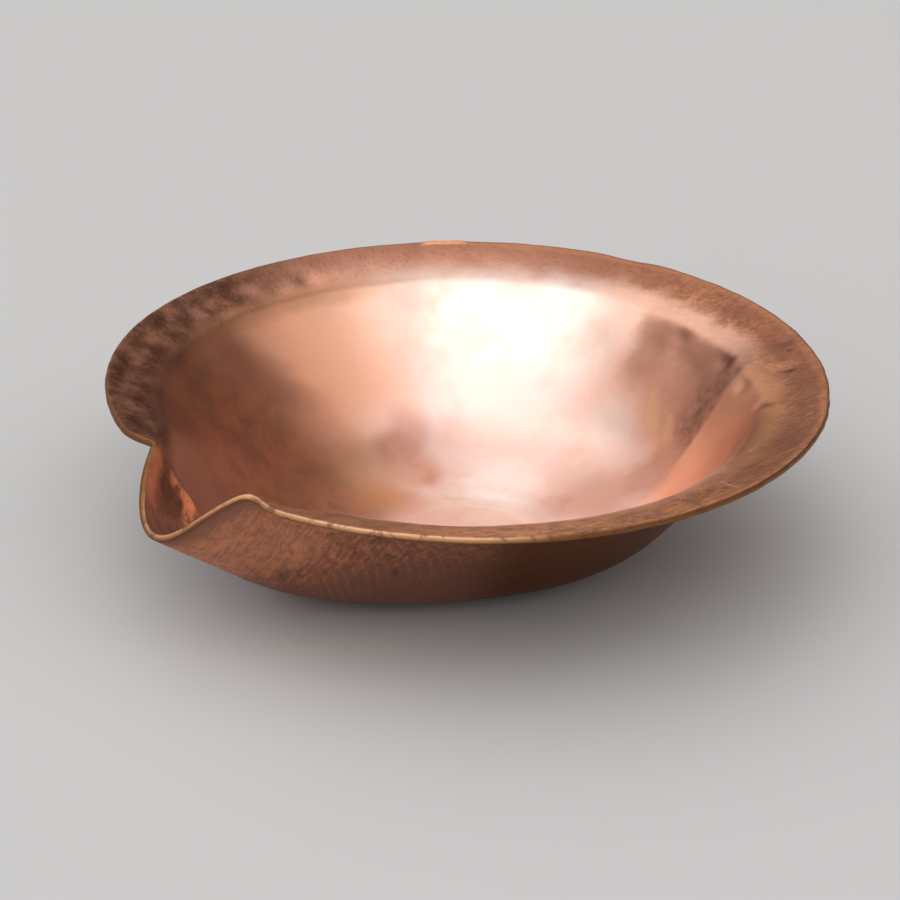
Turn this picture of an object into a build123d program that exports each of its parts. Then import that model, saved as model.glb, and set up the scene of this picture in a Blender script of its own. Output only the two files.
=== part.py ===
from build123d import *
from math import atan2, cos, exp, pi, radians, tan
import os

os.makedirs("parts", exist_ok=True)

# Offering bowl, in millimetres: one disc of sheet copper, sunk to a shallow dish,
# its edge turned out to a flange, and the front of the flange pinched into a pouring lip.
# The origin is the middle of the base underside. +Z is up and +X is the way it pours.

# Sheet and dish
sheet = 0.8
rim_diameter = 84.0
depth = 20.6  # inner floor to the top of the rim
floor_diameter = 20.0
wall_bow = 12.65  # degrees by which the wall's top is steeper than its chord
flange_width = 7.25  # wall bend to rim edge, seen from above
flange_angle = 16.5  # degrees by which the flange rises
crease_radius = 2.4  # bend between wall and flange

# Pouring lip
lip_reach = 4.1  # tip beyond the rim circle
lip_drop = 6.0  # tip below the rim
lip_half_angle = 12.4  # degrees from the lip's middle to its shoulders
shoulder_pinch = 1.6  # how far the shoulders are drawn in at the rim
shoulder_softness = 0.31  # spread of that pinch, as a share of the lip's half angle
keel_floor = 14.3  # how far the flat floor runs out under the lip
keel_bow = 9.8  # degrees by which the keel's top is steeper than its chord
bulge_half_angle = 88.0  # degrees over which the lip's bulge fades out at the floor

# How closely the skins are drawn: points round each ring, and rings up the sheet
lip_turn = 30.0  # degrees each side of the lip where the points are close together
lip_point_count = 30
back_point_count = 15
wall_ring_count = 8
crease_ring_count = 2
flange_ring_count = 2
slope_step = 0.001  # small steps that give the sheet's direction at a point
turn_step = 0.05

rim_radius = rim_diameter / 2
flange_rise = radians(flange_angle)
crease_point = (rim_radius - flange_width, depth - flange_width * tan(flange_rise))
rim_point = (rim_radius, depth)
lip_tip = (rim_radius + lip_reach, depth - lip_drop)


def knee(floor_edge, top, bow):
    """Bend that takes a section off the floor: the slope above it, its corner and its radius."""
    slope = atan2(top[1], top[0] - floor_edge) + radians(bow)
    corner = top[0] - top[1] / tan(slope)
    return slope, (corner, 0), (corner - floor_edge) / tan(slope / 2)


def inside(station, turn):
    """Point on the inner face: station 0 is the axis and 1 the rim, turn is degrees from the lip."""
    plain = wall.position_at(station * wall.length, PositionMode.LENGTH)
    lip = keel.position_at(station * keel.length, PositionMode.LENGTH)
    climb = (station - floor_station) / (1 - floor_station)
    half_angle = bulge_half_angle + (lip_half_angle - bulge_half_angle) * climb
    across = abs(turn) / half_angle
    share = cos(pi / 2 * min(across, 1)) ** 2
    from_shoulder = (abs(turn) / lip_half_angle - 1) / shoulder_softness
    pinch = shoulder_pinch * climb**2 * exp(-(from_shoulder**2))
    section_point = plain + (lip - plain) * share
    return (section_point + Vector(-pinch, 0, sheet)).rotate(Axis.Z, turn)


def underneath(station, turn):
    """Point on the outer face, one sheet below the inner face and square to it."""
    point = inside(station, turn)
    up_the_wall = point - inside(station - slope_step, turn)
    round_the_bowl = inside(station, turn + turn_step) - inside(station, turn - turn_step)
    return point - up_the_wall.cross(round_the_bowl).normalized() * sheet


def spread(first, last, spans):
    """Even steps from first to last, both included."""
    return [first + (last - first) * k / spans for k in range(spans + 1)]


def ring(face_point, station):
    """Closed curve round one face of the sheet, with its seam at the back."""
    turns = spread(-180, -lip_turn, back_point_count)[:-1]
    turns += spread(-lip_turn, lip_turn, lip_point_count)
    turns += spread(lip_turn, 180, back_point_count)[1:]
    points = [face_point(station, turn) for turn in turns[:-1]]
    return Wire([Edge.make_spline(points, periodic=True, parameters=turns)])


with BuildPart() as bowl:
    # Section of the plain wall, from the middle of the floor to the rim
    with BuildLine(Plane.XZ) as wall_section:
        wall_slope, wall_corner, wall_radius = knee(floor_diameter / 2, crease_point, wall_bow)
        FilletPolyline((0, 0), wall_corner, crease_point, rim_point, radius=[wall_radius, crease_radius])
    # Section through the lip, whose keel runs on to the tip without a crease
    with BuildLine(Plane.XZ) as keel_section:
        keel_corner, keel_radius = knee(keel_floor, lip_tip, keel_bow)[1:]
        FilletPolyline((0, 0), keel_corner, lip_tip, radius=keel_radius)
    wall = wall_section.wire()
    keel = keel_section.wire()

    # Stations where the floor, the wall and the crease end
    crease_turn = wall_slope - flange_rise
    flange_flat = flange_width / cos(flange_rise) - crease_radius * tan(crease_turn / 2)
    floor_station = floor_diameter / 2 / wall.length
    crease_end = 1 - flange_flat / wall.length
    crease_start = crease_end - crease_radius * crease_turn / wall.length
    bands = [
        spread(floor_station, crease_start, wall_ring_count),
        spread(crease_start, crease_end, crease_ring_count),
        spread(crease_end, 1, flange_ring_count),
    ]

    # Both skins of the sheet, the cut edge of the rim, and the flat floor and base close one solid
    skins = [Shell.make_loft([ring(side, s) for s in band]) for side in (inside, underneath) for band in bands]
    skins.append(Shell.make_loft([ring(inside, 1), ring(underneath, 1)], ruled=True))
    faces = [face for skin in skins for face in skin.faces()]
    faces += [Face(ring(side, floor_station)) for side in (inside, underneath)]
    add(Solid(Shell(faces)))

bowl.part.label = "bowl"
export_step(bowl.part, "parts/bowl.step")
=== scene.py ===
from math import atan2, cos, degrees, pi, radians, sin, sqrt, tan
from random import Random

import bpy
import numpy as np
from mathutils import Matrix, Vector, noise


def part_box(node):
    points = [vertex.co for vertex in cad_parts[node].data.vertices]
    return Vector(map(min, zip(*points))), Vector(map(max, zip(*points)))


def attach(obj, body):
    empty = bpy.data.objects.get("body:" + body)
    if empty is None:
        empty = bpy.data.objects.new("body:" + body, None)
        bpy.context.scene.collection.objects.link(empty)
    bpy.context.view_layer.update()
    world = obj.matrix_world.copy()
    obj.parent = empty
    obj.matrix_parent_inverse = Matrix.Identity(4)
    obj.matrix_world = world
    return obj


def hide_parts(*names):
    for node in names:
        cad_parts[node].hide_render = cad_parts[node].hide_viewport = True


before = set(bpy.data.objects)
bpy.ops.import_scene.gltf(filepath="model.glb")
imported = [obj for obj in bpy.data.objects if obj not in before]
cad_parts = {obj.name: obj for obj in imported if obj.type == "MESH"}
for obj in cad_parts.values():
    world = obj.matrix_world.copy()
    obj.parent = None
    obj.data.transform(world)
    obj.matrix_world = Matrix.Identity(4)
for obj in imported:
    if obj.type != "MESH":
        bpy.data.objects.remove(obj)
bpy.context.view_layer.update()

# Bowl
# One disc of sheet copper, sunk into a shallow dish with a hammer. Its edge was beaten out to a
# flange on a stake, the front of the flange was pinched into a pouring lip, and the inside polished.

mm = 0.001
low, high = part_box("bowl")

# Sizes of the sheet in millimetres, the overall ones taken from the frame
sheet = 0.8
flange_rise = radians(16.5)
rim_radius = -low.x / mm - sheet * sin(flange_rise)
depth = high.z / mm - sheet
floor_radius = 10.0
flange_width = 7.25
crease_radius = 2.4
wall_bow = radians(12.65)
lip_reach = 4.1
lip_drop = 6.0
lip_half_angle = radians(12.4)
shoulder_pinch = 1.6
shoulder_softness = 0.31
keel_floor = 14.3
keel_bow = radians(9.8)
bulge_half_angle = radians(88)

# Signs of the hand: their sizes in millimetres, and their turns round from the lip
rim_sag = 0.42
sag_turn = radians(84)
crease_stray = 0.8
crease_stray_turn = radians(-42)
crease_wander = 0.28
crease_spread = 0.16  # share of the sheet over which the crease's stray fades
edge_rag = 0.22
edge_round = 0.16
curl_height = 0.13
curl_turn = radians(-127.6)
curl_half_width = radians(4.2)
curl_full_width = radians(2.52)
buckle_depth = 0.16
buckle_turn = radians(-171)
buckle_half_width = radians(3.5)
kink_depth = 0.22
kink_turn = radians(-160)
kink_half_width = radians(6)
kink_full_width = radians(1)
fold_height = 0.45
fold_turn = radians(13)
fold_half_width = 0.65
knee_lift = 0.26
soft_crease_depth = 0.3
soft_crease_width = 2.4
soft_crease_turn = radians(170)

# Hammer marks: depths in millimetres, where they are deepest, and how many faint ones the dish has
faint_dent = 0.03
deep_dent = 0.22
hammered_turn = radians(-62)
faint_blows = 150

# How finely the sheet is drawn, and how far below the crease the flange's close rings begin
turns_round = 480
floor_rings = 6
wall_rings = 44
flange_rings = 42
edge_rings = 5
bend_steps = 40
close_share = 0.06


def bent_section(corners, radii):
    """Length of a line with rounded corners, and its stations, 0 to 1, with radius and height there."""
    path = [np.array(corners[0], float)]
    for before, corner, after, radius in zip(corners, corners[1:], corners[2:], radii):
        start_angle = atan2(corner[1] - before[1], corner[0] - before[0])
        bend = atan2(after[1] - corner[1], after[0] - corner[0]) - start_angle
        cut = radius * tan(abs(bend) / 2)
        chord = 2 * radius * sin(abs(bend) / (2 * bend_steps))
        point = np.array(corner) - cut * np.array([cos(start_angle), sin(start_angle)])
        path.append(point)
        for step in range(bend_steps):
            angle = start_angle + bend * (step + 0.5) / bend_steps
            point = point + chord * np.array([cos(angle), sin(angle)])
            path.append(point)
    path.append(np.array(corners[-1], float))
    path = np.array(path)
    run = np.concatenate([[0], np.cumsum(np.hypot(*np.diff(path, axis=0).T))])
    return run[-1], (run / run[-1], path[:, 0], path[:, 1])


def section_at(section, at_station):
    """Radius and height of a section at a station."""
    stations, reaches, heights = section
    return np.interp(at_station, stations, reaches), np.interp(at_station, stations, heights)


def knee(floor_edge, top, bow):
    """Corner and radius of the bend that takes a section off the floor."""
    slope = atan2(top[1], top[0] - floor_edge) + bow
    corner = top[0] - top[1] / tan(slope)
    return (corner, 0), (corner - floor_edge) / tan(slope / 2)


crease_point = (rim_radius - flange_width, depth - flange_width * tan(flange_rise))
rim_point = (rim_radius, depth)
lip_tip = (rim_radius + lip_reach, depth - lip_drop)
wall_corner, wall_radius = knee(floor_radius, crease_point, wall_bow)
keel_corner, keel_radius = knee(keel_floor, lip_tip, keel_bow)
wall_corners = [(0, 0), wall_corner, crease_point, rim_point]
sheet_run, wall_section = bent_section(wall_corners, [wall_radius, crease_radius])
keel_section = bent_section([(0, 0), keel_corner, lip_tip], [keel_radius])[1]
floor_station = floor_radius / sheet_run
crease_station = 1 - flange_width / cos(flange_rise) / sheet_run

# Every point of the inner face has a station up the sheet and a turn round from the lip
close_station = crease_station - close_share
station = np.concatenate(
    [
        np.linspace(0, floor_station, floor_rings + 1)[1:-1],
        np.linspace(floor_station, close_station, wall_rings)[:-1],
        np.linspace(close_station, 1 - edge_round / sheet_run, flange_rings),
    ]
)[:, None]
turn = (np.arange(turns_round) * 2 * pi / turns_round - pi)[None, :]


def fade(low_end, high_end, value):
    """0 at the low end and 1 at the high end, with a smooth way between."""
    share = np.clip((value - low_end) / (high_end - low_end), 0, 1)
    return share * share * (3 - 2 * share)


def turn_apart(a, b):
    """Angle between two directions, in radians from 0 to pi."""
    return np.abs((a - b + pi) % (2 * pi) - pi)


def wander_round(swing, seed):
    """Smooth wander round the rim that closes on itself, about -1 to 1, with swings of some millimetres."""
    noise_gain = 1.6
    reach = rim_radius / swing
    wander = [noise.noise(Vector((cos(t) * reach, sin(t) * reach, seed))) for t in turn[0]]
    return np.array(wander)[None, :] * noise_gain


# Plain shape: the wall all round, drawn over into the keel at the lip, with pinched shoulders
climb = np.clip((station - floor_station) / (1 - floor_station), 0, 1)
half_angle = bulge_half_angle + (lip_half_angle - bulge_half_angle) * climb
lip_share = np.cos(pi / 2 * np.minimum(np.abs(turn) / half_angle, 1)) ** 2
from_shoulder = (np.abs(turn) / lip_half_angle - 1) / shoulder_softness
pinch = shoulder_pinch * climb**2 * np.exp(-(from_shoulder**2))
wall_reach, wall_height = section_at(wall_section, station)
keel_reach, keel_height = section_at(keel_section, station)
radius = wall_reach + (keel_reach - wall_reach) * lip_share - pinch
height = wall_height + (keel_height - wall_height) * lip_share + sheet

# Stray of the crease, rag and sag of the rim with its curl, buckle and kink, and the wall's lifted foot
near_crease = np.exp(-(((station - crease_station) / crease_spread) ** 2))
near_crease = near_crease * fade(1, 0.88, station) * (1 - lip_share)
near_rim = fade(0.9, 1, station)
fine_rag = wander_round(2.2, 3.1)
broad_rag = wander_round(7.0, 8.7)
rag = np.clip(fine_rag * 0.55 + broad_rag * 0.45, -1, 1)
sag = climb**2 * (1 + np.cos(2 * (turn - sag_turn))) / 2
curl = near_rim * fade(curl_half_width, curl_full_width, turn_apart(turn, curl_turn))
buckle = np.exp(-((turn_apart(turn, buckle_turn) / buckle_half_width) ** 2))
buckle = buckle * fade(0.7, 0.8, station) * fade(1, 0.86, station)
kink = near_rim * fade(kink_half_width, kink_full_width, turn_apart(turn, kink_turn))
knee_ring = fade(floor_station, floor_station + 0.04, station) * fade(0.55, 0.3, station)
radius = radius + crease_stray * near_crease * np.cos(turn - crease_stray_turn)
radius = radius - edge_rag * near_rim**3 * (0.5 - 0.5 * rag)
height = height - rim_sag * sag - buckle_depth * buckle - kink_depth * kink
height = height + curl_height * curl + knee_lift * knee_ring

# The folds where the lip's two sides meet the dish, and a slow wander of the crease
from_fold = (np.abs(turn) - fold_turn) * radius / fold_half_width
fold = np.exp(-(from_fold**2)) * fade(0.75, 0.82, station) * fade(1, 0.93, station)
radius = radius - fold_height * fold + crease_wander * near_crease * wander_round(9.0, 15.3)
inner = np.stack([radius * np.cos(turn), radius * np.sin(turn), height], axis=2)


def grid_normals(points):
    """Directions square to a ring grid, pointing up off the inner face."""
    along = np.gradient(points, axis=0)
    around = np.roll(points, -1, axis=1) - np.roll(points, 1, axis=1)
    square = np.cross(along, around)
    return square / np.linalg.norm(square, axis=2, keepdims=True)


def strike(blow_turn, blow_station, blow_size, blow_depth):
    """How deep one hammer blow's round hollow is all over the sheet."""
    side_way = ((turn - blow_turn + pi) % (2 * pi) - pi) * radius
    up_way = (station - blow_station) * sheet_run
    return blow_depth * np.exp(-((side_way**2 + up_way**2) / blow_size**2))


# Two rows of hammer marks round the flange, by station, pitch and size: deep on the left, beyond the lip
hammer = Random(11)
dents = np.zeros_like(radius)
for row_station, pitch, dent_size in ((0.9, 4.2, 1.5), (0.95, 4.5, 1.6)):
    blows = round(2 * pi * rim_radius / pitch)
    for blow in range(blows):
        blow_turn = -pi + (blow + hammer.uniform(0.0, 1.0)) * 2 * pi / blows
        blow_station = row_station + hammer.uniform(-0.02, 0.02)
        stained = float(fade(radians(60), radians(34), turn_apart(blow_turn, hammered_turn)))
        blow_depth = (faint_dent + deep_dent * stained) * hammer.uniform(0.25, 1.0)
        dents += strike(blow_turn, blow_station, dent_size * hammer.uniform(0.75, 1.2), blow_depth)
dents = dents * fade(1, 0.95, station) * fade(crease_station - 0.01, crease_station + 0.05, station)

# Dents along the far right, by turn and station, and two stretches where the crease is beaten softer
right_dents = ((161.5, 0.812), (177, 0.804), (149, 0.816), (137, 0.836), (148, 0.93), (158, 0.96))
for dent_turn, dent_station in right_dents:
    dents += strike(radians(dent_turn), dent_station, hammer.uniform(0.9, 1.4), hammer.uniform(0.2, 0.34))
soft_right = fade(radians(50), radians(24), turn_apart(turn, soft_crease_turn))
soft_left = fade(radians(62), radians(36), turn_apart(turn, hammered_turn))
from_crease = (station - crease_station) * sheet_run / soft_crease_width
dents += soft_crease_depth * (soft_right + soft_left) * np.exp(-(from_crease**2))

# Faint broad marks all over the dish
for blow in range(faint_blows):
    blow_depth = hammer.uniform(-0.02, 0.035)
    blow_station = sqrt(hammer.uniform(0.02, 0.66))
    dents += strike(hammer.uniform(-pi, pi), blow_station, hammer.uniform(2.6, 4.6), blow_depth)
inner = inner - grid_normals(inner) * dents[:, :, None]

# The outer face lies one sheet below, and a rounded edge joins the two at the rim
outer = inner - grid_normals(inner) * sheet
outer[:, :, 2] = np.maximum(outer[:, :, 2], 0)
outward = inner[-1] - inner[-2]
outward = outward / np.linalg.norm(outward, axis=1, keepdims=True)
edge = []
for step in range(1, edge_rings + 1):
    share = step / (edge_rings + 1)
    bulge = edge_round * (1 - abs(2 * share - 1) ** 3)
    edge.append(inner[-1] + (outer[-1] - inner[-1]) * share + outward * bulge)

# One mesh: the rings of both faces and the edge between them, closed in the middle of the floor
middle_inner = np.array([[0, 0, sheet]])
middle_outer = np.array([[0, 0, 0]])
rings = np.concatenate([inner, np.array(edge), outer[::-1]])
points = np.concatenate([rings.reshape(-1, 3), middle_inner, middle_outer]) * mm
ring_starts = [ring * turns_round for ring in range(len(rings))]
faces = []
for a, b in zip(ring_starts, ring_starts[1:]):
    for k in range(turns_round):
        after = (k + 1) % turns_round
        faces.append((a + k, b + k, b + after, a + after))
last = ring_starts[-1]
middle = len(rings) * turns_round
for k in range(turns_round):
    after = (k + 1) % turns_round
    faces.append((middle, k, after))
    faces.append((middle + 1, last + after, last + k))
bowl_mesh = bpy.data.meshes.new("copper_bowl")
bowl_mesh.from_pydata(points.tolist(), [], faces)
bowl_mesh.validate()
bowl_mesh.polygons.foreach_set("use_smooth", [True] * len(bowl_mesh.polygons))

# Each point carries its station, and its side: 1 inside, -1 outside and near 0 on the cut edge
edge_side = 0.09
stations = np.concatenate([station[:, 0], np.ones(edge_rings), station[::-1, 0]])
edge_sides = np.linspace(edge_side, -edge_side, edge_rings)
sides = np.concatenate([np.ones(len(inner)), edge_sides, -np.ones(len(outer))])
for name, values, ends in (("station", stations, (0, 0)), ("side", sides, (1, -1))):
    attribute = bowl_mesh.attributes.new(name, "FLOAT", "POINT")
    attribute.data.foreach_set("value", np.concatenate([np.repeat(values, turns_round), ends]))


def placed(name, data):
    """New object in the scene, made of a mesh, a camera or a light."""
    made = bpy.data.objects.new(name, data)
    bpy.context.scene.collection.objects.link(made)
    return made


bowl = placed("copper_bowl", bowl_mesh)


class Socket:
    """A shader node's output. Arithmetic on it adds Math nodes, and node() adds any other kind."""

    def __init__(self, tree, output=None):
        self.tree = tree
        self.output = output

    def node(self, kind, settings, values, output=0):
        """Adds a node with its settings and its sockets' values or links, and gives one output."""
        made = self.tree.nodes.new("ShaderNode" + kind)
        for name, setting in settings.items():
            setattr(made, name, setting)
        for name, value in values.items():
            if isinstance(value, Socket):
                self.tree.links.new(value.output, made.inputs[name])
            else:
                made.inputs[name].default_value = value
        return Socket(self.tree, made.outputs[output] if made.outputs else None)

    def maths(self, operation, *values):
        """Adds a Math node for one operation, with its values in order."""
        return self.node("Math", {"operation": operation}, dict(enumerate(values)))

    def __add__(self, other):
        return self.maths("ADD", self, other)

    def __radd__(self, other):
        return self.maths("ADD", other, self)

    def __sub__(self, other):
        return self.maths("SUBTRACT", self, other)

    def __rsub__(self, other):
        return self.maths("SUBTRACT", other, self)

    def __mul__(self, other):
        return self.maths("MULTIPLY", self, other)

    def __rmul__(self, other):
        return self.maths("MULTIPLY", other, self)

    def __truediv__(self, other):
        return self.maths("DIVIDE", self, other)

    def __rtruediv__(self, other):
        return self.maths("DIVIDE", other, self)

    def __pow__(self, other):
        return self.maths("POWER", self, other)

    def fade(self, low_end, high_end):
        """0 at the low end and 1 at the high end, with a smooth way between."""
        ends = {"Value": self, "From Min": low_end, "From Max": high_end}
        return self.node("MapRange", {"interpolation_type": "SMOOTHSTEP"}, ends)

    def band(self, low_end, full_low, full_high, high_end):
        """1 between the two full values, fading to 0 at either end."""
        return self.fade(low_end, full_low) * self.fade(high_end, full_high)

    def colour(self, first, second):
        """First colour where this is 0 and second where it is 1."""
        return self.node("Mix", {"data_type": "RGBA"}, {0: self, 6: first, 7: second}, 2)


def bare_tree(owner):
    """Emptied node tree of a material or the world, as a socket to start from."""
    owner.use_nodes = True
    owner.node_tree.nodes.clear()
    return Socket(owner.node_tree)


def layered(base, *layers):
    """A base colour with others laid over it in turn, each given as where it lies and its colour."""
    for where, layer_colour in layers:
        base = where.colour(base, layer_colour)
    return base


# Copper finish: pink where it is polished and brown where it has tarnished, with highlights, reflections
# and shade painted into it in places
copper = bpy.data.materials.new("copper")
start = bare_tree(copper)
metres = start.node("TexCoord", {}, {}, "Object")
place = start.node("VectorMath", {"operation": "SCALE"}, {"Vector": metres, "Scale": 1 / mm})
x = start.node("SeparateXYZ", {}, {"Vector": place}, "X")
y = start.node("SeparateXYZ", {}, {"Vector": place}, "Y")
flat_place = start.node("CombineXYZ", {}, {"X": x, "Y": y})
least_reach = 0.5  # millimetres, so that nothing is divided by 0 at the axis
from_axis = start.maths("MAXIMUM", (x * x + y * y) ** 0.5, least_reach)

# Degrees round the bowl: turned is 0 and 360 at the lip and 180 at the back
turned = start.maths("ARCTAN2", 0 - y, 0 - x) * (180 / pi) + 180
from_lip = 180 - start.maths("ABSOLUTE", turned - 180)
up_sheet = start.node("Attribute", {"attribute_name": "station"}, {}, "Fac")
side = start.node("Attribute", {"attribute_name": "side"}, {}, "Fac")
inside = side.fade(0.1, 0.9)
outside = (0 - side).fade(0.1, 0.9)
cut_edge = 1 - inside - outside


def toward(turn_degrees, full_degrees, none_degrees):
    """1 in the sector of the bowl within full_degrees of a direction, fading to 0 at none_degrees."""
    angle = radians(turn_degrees)
    lean = (x * cos(angle) + y * sin(angle)) / from_axis
    return lean.fade(cos(radians(none_degrees)), cos(radians(full_degrees)))


def noise_at(where, size, detail, roughness):
    """Cloudy noise, about 0.25 to 0.75, whose patches are about that many millimetres across."""
    noise_look = {"Vector": where, "Scale": 1 / size, "Detail": detail, "Roughness": roughness}
    return start.node("TexNoise", {"noise_dimensions": "3D"}, noise_look, "Fac")


def cloud(size, detail, roughness=0.55, shift=0.0, slant=0.0, stretch=(1, 1, 1)):
    """Cloudy noise through the bowl, shifted so that no two clouds are alike, and slanted in degrees."""
    moved = {"Location": (shift, 1.7 * shift, -shift), "Rotation": (0, 0, radians(slant)), "Scale": stretch}
    return noise_at(start.node("Mapping", {}, {"Vector": place} | moved), size, detail, roughness)


big_cloud = cloud(15, 4, shift=3.0)
small_cloud = cloud(4.5, 3, shift=11.0)
mottle = cloud(1.5, 4, 0.6, shift=21.0)


def seen_from_above(turn_degrees, at_station):
    """Where a place on the sheet lies, seen from above, in millimetres."""
    angle = radians(turn_degrees)
    reach = float(section_at(wall_section, at_station)[0])
    return Vector((reach * cos(angle), reach * sin(angle), 0))


def away_from(point):
    """Millimetres from a point, seen from above."""
    return start.node("VectorMath", {"operation": "DISTANCE"}, {0: flat_place, 1: point}, "Value")


def spot(turn_degrees, at_station, size):
    """1 at one place and 0 a little over that many millimetres from it, with a broken outline."""
    from_middle = away_from(seen_from_above(turn_degrees, at_station))
    return (from_middle + mottle * size).fade(size * 1.8, size * 0.6)


def haze(turn_degrees, at_station, size):
    """1 at one place and 0 about that many millimetres from it, with a soft, wandering outline."""
    from_middle = away_from(seen_from_above(turn_degrees, at_station))
    return (from_middle / size + small_cloud * 0.8 - 0.4).fade(1.1, 0.2)


def streak(first, last, width):
    """1 along a thin straight mark between two places on the sheet, and 0 beside it."""
    first_end = seen_from_above(*first)
    last_end = seen_from_above(*last)
    length = (last_end - first_end).length
    both_ways = away_from(first_end) + away_from(last_end)
    return both_ways.fade(length + width**2 / length, length)


# Zones of the sheet, whose edges wander a little
wobble = small_cloud * 0.05 - 0.025
uneven = up_sheet + wobble
off_crease = uneven - crease_station
stain = toward(-52, 30, 54)
stained_flange = off_crease.fade(-0.05, 0.05) * stain
flange = start.maths("MAXIMUM", off_crease.fade(-0.03, 0.09), stained_flange)
inner_flange = flange * inside
lip = toward(0, 11, 15) * uneven.fade(0.68, 0.86)
rim_front = toward(20, 50, 85)

# Veil: brown on the dish's side near the lip, partly tarnish and partly painted shade, with a sharp end
# above and a soft one below
brown_veil = (0.48, 0.195, 0.105, 1)
veil_shade = (0.32, 0.14, 0.09, 1)
mauve_veil = (0.42, 0.20, 0.14, 1)
golden_veil = (0.73, 0.36, 0.18, 1)
veil_top = 0.81  # station just under the crease
veil_half_angle = 80  # degrees from the lip to the veil's end there
veil_lean = 39  # degrees by which that end leans away from the lip, over the whole sheet
veil_edge = veil_half_angle + (veil_top - up_sheet) * veil_lean + big_cloud * 16 - 8
veil_depth = veil_edge - from_lip
sharp_veil = veil_depth.fade(-3, 9)
soft_veil = veil_depth.fade(-10, 24)
veil = sharp_veil + (soft_veil - sharp_veil) * up_sheet.fade(0.66, 0.54)
veil = veil * up_sheet.fade(0.13, 0.27) * (0.75 + big_cloud * 0.35)
low_veil = up_sheet.fade(0.5, 0.3) * from_lip.fade(58, 90)
veil_colour = layered(
    brown_veil,
    ((small_cloud * 0.7 + mottle * 0.3).fade(0.4, 0.68), veil_shade),
    (veil_depth.fade(24, 4) * 0.6, mauve_veil),
    # Painted shade: darker still close to the lip
    (from_lip.fade(44, 24) * 0.9, veil_shade),
    (low_veil * 0.8, golden_veil),
)

# Dish: palest under a painted highlight on the far wall, with a painted reflection of a wedge and a dark
# patch of painted shade on the right, and hazes below
painted_highlight_copper = (0.97, 0.85, 0.79, 1)
pale_rose = (0.90, 0.66, 0.60, 1)
rosy_copper = (0.90, 0.47, 0.33, 1)
pink_floor = (0.90, 0.63, 0.56, 1)
pink_glow = (0.97, 0.74, 0.65, 1)
warm_copper = (0.72, 0.34, 0.20, 1)
orange_glow = (0.94, 0.45, 0.28, 1)
terracotta = (0.92, 0.46, 0.305, 1)
wedge_shade_brown = (0.60, 0.28, 0.16, 1)
mauve_patch = (0.54, 0.26, 0.19, 1)
mauve_shade = (0.27, 0.12, 0.08, 1)
streak_gold = (0.97, 0.64, 0.32, 1)
rose_haze = (0.65, 0.28, 0.185, 1)
orange_floor = (0.75, 0.37, 0.21, 1)
rose_shade = (0.55, 0.27, 0.19, 1)
rose_floor = (0.86, 0.57, 0.46, 1)
floor_turn = 184  # degrees round to the highest reach of the pale floor
floor_reach = 0.59  # station of that reach
floor_fall = 0.0022  # how much lower the pale floor ends with each degree away from there
wedge_top = 0.8  # station just under the crease
wedge_turn = 153.5  # degrees round to the wedge's side there
wedge_lean = 16  # degrees by which that side leans, over the whole sheet
# Painted highlight: the far wall is paler where the window's highlight falls
painted_highlight = up_sheet.fade(0.74, 0.56).colour(painted_highlight_copper, pale_rose)
# Painted reflection: the floor is paler pink below the knee of the wall
floor_top = floor_reach - start.maths("ABSOLUTE", turned - floor_turn) * floor_fall
pale_floor_reflection = (floor_top - up_sheet + wobble).fade(-0.03, 0.05)
dull = big_cloud.fade(0.46, 0.68) * 0.3 + small_cloud.fade(0.5, 0.75) * 0.15
left_wall = toward(-78, 22, 50) * up_sheet.fade(0.4, 0.6)
past_wedge = turned - wedge_turn + (wedge_top - up_sheet) * wedge_lean
# Painted reflection: a terracotta wedge on the right, with painted shade darkening its upper end towards
# the crease
wedge_reflection = past_wedge.fade(1.5, -1.5) * turned.fade(90, 115) * up_sheet.fade(0.4, 0.5)
wedge_colour = (up_sheet.fade(0.56, 0.72) * 0.8).colour(terracotta, wedge_shade_brown)
# Painted shade: a darker mauve patch on the far right wall, darkest beside the wedge
patch_foot = 0.6 - (186 - turned) * 0.003
dark_patch = past_wedge.fade(-1.5, 1.5) * (192 - turned + small_cloud * 8 - 4).fade(0, 8)
dark_patch = dark_patch * (up_sheet - patch_foot).fade(-0.02, 0.12)
dark_patch = dark_patch * (1 - haze(176, 0.66, 4) * 0.5)
patch_shade = dark_patch * past_wedge.fade(18, 4) * up_sheet.fade(0.5, 0.62)
# Painted shadow: a dark line under the crease on the far right
painted_crease_shadow = turned.band(157, 163, 182, 190) * uneven.band(0.735, 0.785, 0.815, 0.845)
streaks = streak((176.5, 0.657), (167.5, 0.571), 1.5) + streak((166.2, 0.627), (156.2, 0.547), 1.3)
long_haze = streak((-102, 0.43), (-115, 0.29), 5.5) + haze(-113, 0.45, 3.6) * 0.8
long_haze = start.maths("MINIMUM", long_haze, 1) * (0.35 + small_cloud * 0.8)
warm_floor = haze(-94, 0.36, 4.5) * 0.5 + haze(-84, 0.25, 4.5) * 0.4
floor_shade = haze(162, 0.37, 8.5) * 0.65 + haze(153, 0.5, 4.5) * 0.6 + haze(172, 0.24, 4) * 0.3
floor_shade = start.maths("MINIMUM", floor_shade, 0.85)
floor_middle = up_sheet.fade(0.17, 0.145)
dish_colour = layered(
    rosy_copper,
    (toward(-134, 14, 46), painted_highlight),
    (pale_floor_reflection, pink_floor),
    # Painted highlight low on the floor at the far side
    (haze(-150, 0.2, 9), painted_highlight_copper),
    # Painted light: a paler pink glow low on the far wall
    (haze(-177, 0.53, 4.5) * 0.6, pink_glow),
    (dull, warm_copper),
    (left_wall * 0.75, orange_glow),
    (wedge_reflection * 0.88, wedge_colour),
    (dark_patch * (0.3 + small_cloud * 0.6), mauve_patch),
    (patch_shade * mottle * 1.5, mauve_shade),
    (painted_crease_shadow * 0.6, mauve_shade),
    (streaks * 0.22, streak_gold),
    (long_haze, rose_haze),
    (warm_floor, orange_floor),
    (floor_shade, rose_shade),
    (floor_middle * 0.5, rose_floor),
    (veil, veil_colour),
)
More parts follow.
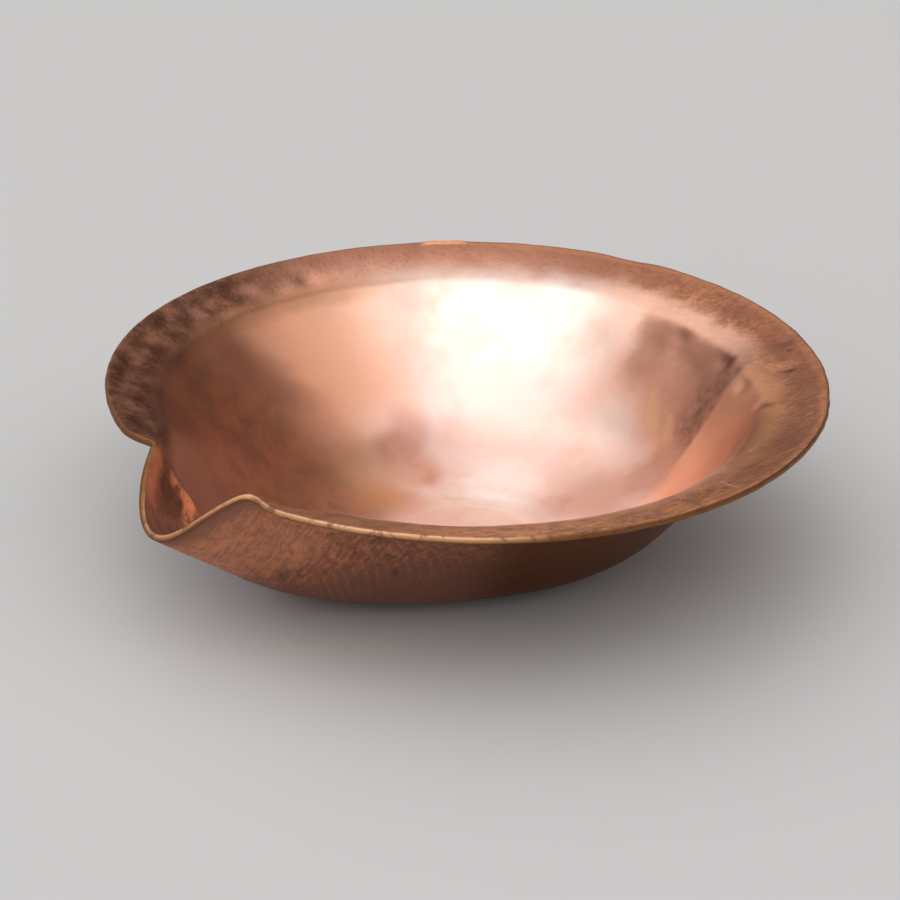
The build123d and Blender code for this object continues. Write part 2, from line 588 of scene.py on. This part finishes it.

# Stained flange beside the lip: dark tarnish over small pleats, with rose specks and two rose lumps that
# are painted glints on dents
purple_tarnish = (0.14, 0.058, 0.037, 1)
stain_lump = (0.40, 0.185, 0.115, 1)
rose_lump = (0.68, 0.35, 0.25, 1)
round_rim = turned * radians(rim_radius)
pleat_place = start.node("CombineXYZ", {}, {"X": round_rim, "Y": up_sheet * (sheet_run * 0.85)})
pleats = noise_at(pleat_place, 3.2, 3, 0.55)
rose_specks = cloud(0.7, 3, 0.6, shift=83.0).fade(0.6, 0.74)
# Painted glints: two rose lumps where dents catch the light
lumps = spot(-74, 0.922, 1.5) + spot(-88, 0.922, 1.5)
stained_colour = layered(
    purple_tarnish,
    ((pleats * 0.65 + mottle * 0.35).fade(0.38, 0.68), stain_lump),
    (rose_specks * 0.4, rose_lump),
    (lumps * 0.7, rose_lump),
)

# Flange: golden brown, flecked all over, rosy at the far side and darker towards the rim
golden_brown = (0.65, 0.285, 0.145, 1)
dark_brown = (0.34, 0.14, 0.076, 1)
fleck_brown = (0.26, 0.105, 0.075, 1)
crease_gold = (0.80, 0.38, 0.15, 1)
rose_flange = (0.67, 0.33, 0.24, 1)
rim_orange = (0.75, 0.33, 0.17, 1)
mottled = (small_cloud * 0.5 + mottle * 0.5).fade(0.4, 0.62)
flecks = cloud(0.6, 3, 0.65, shift=71.0).fade(0.5, 0.66)
grains = cloud(0.55, 3, 0.65, shift=77.0).fade(0.5, 0.64) * toward(85, 45, 75)
rim_side = uneven.fade(0.91, 0.99) * toward(-140, 50, 90)
kink_shade = toward(degrees(kink_turn), 5, 20)
gold_patch = toward(128, 8, 20) * uneven.band(0.79, 0.83, 0.87, 0.92)
dark_band = toward(134, 22, 46) * uneven.band(0.88, 0.93, 0.97, 1.0)
# Painted shade: darker along the crease on the left, beside the stain
painted_crease_shade = toward(-42, 22, 46) * off_crease.band(-0.03, 0, 0.01, 0.06)
rim_line = uneven.fade(0.97, 0.99) * toward(165, 50, 80)
purple_clouds = haze(142, 0.93, 5) + haze(158, 0.94, 4) + haze(118, 0.92, 4) + haze(176, 0.93, 4)
near_gold = toward(58, 24, 50) * mottle.fade(0.6, 0.4)
flange_colour = layered(
    golden_brown,
    (mottled, dark_brown),
    (flecks * 0.65, fleck_brown),
    (grains * 0.55, crease_gold),
    (toward(-122, 20, 60) * 0.8, rose_flange),
    (rim_side * 0.55, dark_brown),
    (kink_shade * 0.5, dark_brown),
    (stain * 0.96, stained_colour),
    (gold_patch * 0.8, crease_gold),
    (dark_band * 0.7, dark_brown),
    (painted_crease_shade * 0.85, purple_tarnish),
    (rim_line * 0.25, rim_orange),
    (purple_clouds * 0.4, fleck_brown),
    (near_gold * 0.4, crease_gold),
)

# Lip: brown sides, one with a painted highlight at its end and painted shade further in
lip_brown = (0.34, 0.15, 0.09, 1)
lip_dark = (0.15, 0.062, 0.037, 1)
lip_mauve = (0.40, 0.185, 0.125, 1)
painted_highlight_orange = (0.95, 0.46, 0.24, 1)
rasp = cloud(1.1, 4, 0.65, 31.0, 35, (0.3, 2.2, 1))
# Painted highlight at the end of one side of the lip
painted_lip_highlight = toward(-9, 1.5, 4) * up_sheet.fade(0.93, 0.975)
# Painted shade further in on that side
lip_shade = toward(-10.5, 1.5, 4.5) * up_sheet.band(0.83, 0.86, 0.91, 0.945)
lip_colour = layered(
    lip_brown,
    ((mottle * 0.7 + rasp * 0.3).fade(0.42, 0.6), lip_dark),
    (toward(-3, 3, 8) * 0.5, lip_mauve),
    (painted_lip_highlight * 0.5, painted_highlight_orange),
    (lip_shade * 0.65, lip_dark),
)

# Inner face: dish, flange and lip together, with painted highlights along the crease, on the curl and on
# the folds, and painted shade along part of the crease
crease_brown = (0.50, 0.235, 0.12, 1)
band_rose = (0.97, 0.60, 0.46, 1)
crease_shade_gold = (0.34, 0.155, 0.055, 1)
scratch_and_highlight_pink = (0.97, 0.64, 0.50, 1)
# Painted shade: a darker band along the crease on the left
left_brown = toward(-90, 14, 30) * uneven.band(0.79, 0.83, 0.86, 0.91)
# Painted highlight: a rose band along the crease on the far right
bright_crease = turned.band(150, 162, 194, 206) * uneven.band(0.825, 0.86, 0.88, 0.92)
bright_crease = bright_crease * (turned.fade(158, 174) * 0.35 + mottle * 0.6)
# Painted shade: darker gold along part of the crease
shaded_crease = turned.band(102, 116, 124, 138) * uneven.band(0.74, 0.79, 0.86, 0.92)
# Painted reflection: a thin pink line along the crease on the near side
crease_line = toward(60, 40, 54) * off_crease.band(-0.03, -0.01, 0, 0.03)
# Painted highlight on the curl at the rim
curl_highlight = toward(degrees(curl_turn), 2.5, 4.5) * up_sheet.fade(0.978, 0.988)
beside_lip = toward(26, 8, 20) * uneven.fade(0.84, 0.9)
# Painted highlights along the folds beside the lip, and at the foot of one
fold_lines = start.maths("MAXIMUM", toward(0, 12.2, 13.2) - toward(0, 10.8, 12.2), 0)
fold_highlights = fold_lines * up_sheet.band(0.77, 0.8, 0.87, 0.93) * mottle.fade(0.34, 0.56)
fold_foot = toward(-10.5, 1.5, 3.5) * up_sheet.band(0.785, 0.805, 0.825, 0.845) * mottle.fade(0.4, 0.55)
inner_colour = layered(
    dish_colour,
    (flange, flange_colour),
    (left_brown * 0.5, crease_brown),
    (bright_crease, band_rose),
    (shaded_crease * 0.6, crease_shade_gold),
    (crease_line * 0.85, scratch_and_highlight_pink),
    (curl_highlight, painted_highlight_orange),
    (lip, lip_colour),
    (beside_lip * 0.45, lip_brown),
    (fold_highlights * 0.85, painted_highlight_orange),
    (fold_foot * 0.8, painted_highlight_orange),
)

# Outside: red brown, scuffed, cracked and filed under the flange near the lip, with a painted sheen beside
# the lip, painted shade just under the edge, and painted shade making it darker further round
mauve_outside = (0.30, 0.138, 0.096, 1)
red_copper = (0.42, 0.172, 0.102, 1)
filed_and_sheen_copper = (0.66, 0.29, 0.168, 1)
red_shade = (0.15, 0.06, 0.038, 1)
shade_brown = (0.125, 0.04, 0.011, 1)
file_turn = radians(22)
stroke_slant = radians(40)
arcs_per_mm = 0.9
arc_middle = 36  # millimetres up the sheet to the arcs' turning point
arc_bow = 0.02
crack_shift = 7.0
aside = y * cos(file_turn) - x * sin(file_turn)
above = up_sheet * sheet_run
along_stroke = aside * cos(stroke_slant) + above * sin(stroke_slant)
across_stroke = above * cos(stroke_slant) - aside * sin(stroke_slant) + small_cloud * 1.5
stroke_place = start.node("CombineXYZ", {}, {"X": along_stroke * 0.4, "Y": across_stroke * 2.4})
strokes = noise_at(stroke_place, 1, 4, 0.6)
arcs = (aside * arcs_per_mm + (above - arc_middle) ** 2 * arc_bow + small_cloud * 1.2) * (2 * pi)
arc_zone = start.maths("MINIMUM", haze(20, 0.76, 7) + haze(36, 0.75, 6) + haze(48, 0.77, 6), 1)
arc_marks = start.maths("SINE", arcs).fade(0, 0.9) * arc_zone * strokes.fade(0.4, 0.6) * outside
crack_way = {"X": along_stroke * 0.16, "Y": across_stroke * 0.75, "Z": crack_shift}
crack_place = start.node("CombineXYZ", {}, crack_way)
from_crack = start.maths("ABSOLUTE", noise_at(crack_place, 1, 4, 0.6) - 0.5)
cracks = from_crack.fade(0.022, 0.004) * mottle.fade(0.42, 0.56)
scuffs = cloud(1.1, 5, 0.7, shift=93.0) * 0.55 + strokes * 0.45
scuffed = scuffs.fade(0.4, 0.56)
worked_band = uneven.band(0.64, 0.74, 0.92, 0.98)
# Painted sheen: the outside beside the lip is lighter where it catches the light
painted_sheen_side = toward(7, 8, 20) * uneven.band(0.72, 0.8, 0.93, 0.99)
# Painted shade just under the edge
under_edge = up_sheet.fade(0.982, 0.998) * rim_front
# Painted shade: the outside is darker away from the lip and the back
unshaded_side = start.maths("MAXIMUM", toward(20, 18, 42), toward(180, 60, 95) * 0.6)
outer_colour = layered(
    mauve_outside,
    (scuffed * worked_band, red_copper),
    (scuffs.fade(0.5, 0.6) * worked_band * 0.6, filed_and_sheen_copper),
    (scuffs.fade(0.42, 0.36) * worked_band * 0.2, red_shade),
    (cracks * worked_band * 0.75, red_shade),
    (arc_marks * 0.35, filed_and_sheen_copper),
    (painted_sheen_side * (0.4 + scuffed * 0.4), filed_and_sheen_copper),
    (under_edge * 0.6, red_shade),
    ((1 - unshaded_side) * 0.85, shade_brown),
)

# Cut edge: golden brown, lighter beside the lip, with a painted highlight along its upper corner and
# painted shade along its lower one
golden_edge = (0.28, 0.13, 0.052, 1)
bright_edge = (0.60, 0.32, 0.135, 1)
peach_edge = (0.90, 0.56, 0.38, 1)
edge_brown = (0.20, 0.09, 0.037, 1)
lip_side_edge = toward(28, 22, 36)
# Painted highlight along the upper corner of the edge
edge_top = (side + mottle * 0.12 - 0.06).fade(-0.05, 0.08)
# Painted shade along the lower corner of the edge
edge_foot = (0 - side).fade(0.03, 0.1) * rim_front
edge_colour = layered(
    lip_side_edge.colour(golden_edge, bright_edge),
    (edge_top, (lip_side_edge * 0.8).colour(golden_edge, peach_edge)),
    (mottle.fade(0.5, 0.64) * 0.7, edge_brown),
    (edge_foot * 0.6, edge_brown),
)

# Whole sheet: both faces and the edge, with the few pits and scratches
pit_brown = (0.07, 0.035, 0.024, 1)
outer_pits = spot(33.2, 0.685, 0.55) + spot(64.2, 0.93, 0.3)
flange_pits = spot(160, 0.82, 0.9) + spot(147, 0.922, 0.7) + spot(135.2, 0.845, 1.1) + spot(154, 0.95, 0.5)
pits = start.maths("MINIMUM", outer_pits * outside + flange_pits * inside, 1)
scratch_cloud = cloud(1.0, 2, 0.5, 61.0, -42, (0.16, 4.5, 1))
long_scratch = streak((98, 0.888), (95.5, 0.986), 0.45) * inside
scratches = scratch_cloud.fade(0.62, 0.67) * inner_flange * toward(88, 30, 60) + long_scratch
body_colour = layered(
    inner_colour,
    (outside, outer_colour),
    (cut_edge, edge_colour),
    (pits * 0.5, pit_brown),
    (scratches * 0.55, scratch_and_highlight_pink),
)

# Roughness, and a fine relief in millimetres that only bends the light
relief_strength = 0.5
roughness = 0.33 + dull * 0.12 + veil * 0.12 + mottle * 0.06
roughness = roughness + inner_flange * 0.08 + outside * 0.16 + cut_edge * 0.1 - scratches * 0.1
flange_relief = (pleats * 0.3 * stained_flange + flecks * flange * 0.05) * inside
dish_relief = (small_cloud * 0.1 + mottle * 0.015 - floor_middle * 0.1) * inside * (1 - flange)
outer_relief = (scuffs * 0.22 + arc_marks * 0.04) * outside
mottle_relief = mottle * 0.05 * (outside + inner_flange) + mottle * cut_edge * 0.25
relief = flange_relief + dish_relief + outer_relief + mottle_relief - pits * 0.1 - scratches * 0.03
bumped = start.node("Bump", {}, {"Height": relief, "Strength": relief_strength, "Distance": mm})
skin_look = {"Base Color": body_colour, "Metallic": 1.0, "Roughness": roughness, "Normal": bumped}
skin = start.node("BsdfPrincipled", {}, skin_look)
start.node("OutputMaterial", {}, {"Surface": skin})
bowl_mesh.materials.append(copper)
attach(bowl, "root")
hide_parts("bowl")

# Floor
# A plain pale table top of matt board, laid flat under the bowl.
# The bowl stands loose on it, and it takes the soft shadow.

floor_half = 3.0
pale_board = (0.62, 0.64, 0.66, 1)
board_roughness = 0.7
floor_mesh = bpy.data.meshes.new("table_top")
corner_ways = ((-1, -1), (1, -1), (1, 1), (-1, 1))
corners = [(way_x * floor_half, way_y * floor_half, 0) for way_x, way_y in corner_ways]
floor_mesh.from_pydata(corners, [], [(0, 1, 2, 3)])
floor = placed("table_top", floor_mesh)
table = bpy.data.materials.new("pale table")
table_start = bare_tree(table)
table_look = {"Base Color": pale_board, "Roughness": board_roughness}
table_start.node("OutputMaterial", {}, {"Surface": table_start.node("BsdfPrincipled", {}, table_look)})
floor_mesh.materials.append(table)

# Camera
# It stands where the photograph was taken from: in front and to one side of the lip, looking down.
# The middle of the rim is put at its pixel of the photograph, with the photograph's slight roll.

camera_turn = radians(47.95)
camera_rise = radians(24.05)
camera_distance = 0.5
camera_roll = radians(1.16)
frame_pixels = 900
focal_pixels = 4305
rim_pixel = (467.8, 375.5)

straight_up = Vector((0, 0, 1))
rim_middle = straight_up * high.z
level = Vector((cos(camera_turn), sin(camera_turn), 0))
away = level * cos(camera_rise) + straight_up * sin(camera_rise)
right = Vector((-sin(camera_turn), cos(camera_turn), 0))
upright = away.cross(right)
rolled_right = right * cos(camera_roll) + upright * sin(camera_roll)
rolled_up = upright * cos(camera_roll) - right * sin(camera_roll)
aim = -away * focal_pixels - rolled_right * (rim_pixel[0] - frame_pixels / 2)
aim = (aim + rolled_up * (rim_pixel[1] - frame_pixels / 2)).normalized()
camera_right = (rolled_right - aim * rolled_right.dot(aim)).normalized()
camera_up = camera_right.cross(aim)
camera_data = bpy.data.cameras.new("camera")
camera_data.sensor_width = 36
camera_data.lens = camera_data.sensor_width * focal_pixels / frame_pixels
camera = placed("camera", camera_data)
facing = Matrix((camera_right, camera_up, -aim)).transposed().to_4x4()
camera.matrix_world = Matrix.Translation(rim_middle + away * camera_distance) @ facing
bpy.context.scene.camera = camera

# Light
# Soft studio light: a wide window glow behind the camera, another beyond the bowl, and weaker fills at
# the sides, low down and overhead. The room between them is dim and warm, and a round lamp in the near
# window casts the soft shadow.

room_glow = 0.12
warm_light = (1.0, 0.74, 0.60, 1)
white_light = (1.0, 0.985, 0.965, 1)
lamp_width = 0.9
lamp_distance = 0.75
lamp_glow = 0.22

world = bpy.data.worlds.new("studio")
bpy.context.scene.world = world
sky = bare_tree(world)
look = sky.node("TexCoord", {}, {}, "Generated")


def light_way(from_top, round_from_right):
    """Way to a light: degrees from straight up, and round from the camera's right to the far side."""
    lean = radians(from_top)
    swing = radians(round_from_right)
    return right * sin(lean) * cos(swing) - level * sin(lean) * sin(swing) + straight_up * cos(lean)


def glow(from_top, round_from_right, full, none, brightness):
    """Soft patch of light round a way, full within one angle and gone at another, both in degrees."""
    middle_way = light_way(from_top, round_from_right)
    facing_it = sky.node("VectorMath", {"operation": "DOT_PRODUCT"}, {0: look, 1: middle_way}, "Value")
    return facing_it.fade(cos(radians(none)), cos(radians(full))) * brightness


near_window = glow(45, 252, 6, 64, 0.95)
window_core = glow(40, 238, 2, 42, 0.35)
window_side = glow(41, 300, 2, 42, 0.22)
window_edge = glow(32, 298, 2, 20, 0.25)
far_window = glow(36, 123, 2, 50, 0.9)
back_fill = glow(40, 90, 2, 28, 0.16)
right_fill = glow(45, 355, 2, 34, 0.68)
left_fill = glow(48, 166, 2, 26, 0.25)
low_fill = glow(67, 140, 2, 24, 0.2)
overhead = glow(10, 60, 2, 34, 0.12)
windows = near_window + window_core + window_side + window_edge
windows = windows + far_window + back_fill + right_fill + left_fill + low_fill + overhead
room = sky.node("Background", {}, {"Color": warm_light, "Strength": room_glow})
bright = sky.node("Background", {}, {"Color": white_light, "Strength": windows})
sky.node("OutputWorld", {}, {"Surface": sky.node("AddShader", {}, {0: room, 1: bright})})

# The lamp's power is pi times its glow times its area
lamp_way = light_way(34, 241)
lamp_area = pi * lamp_width**2 / 4
lamp_data = bpy.data.lights.new("window", "AREA")
lamp_data.shape = "DISK"
lamp_data.size = lamp_width
lamp_data.energy = lamp_glow * pi * lamp_area
lamp_data.color = white_light[:3]
lamp = placed("window", lamp_data)
lamp.location = lamp_way * lamp_distance
lamp.rotation_euler = lamp_way.to_track_quat("Z", "Y").to_euler()
bpy.context.scene.view_settings.view_transform = "Standard"
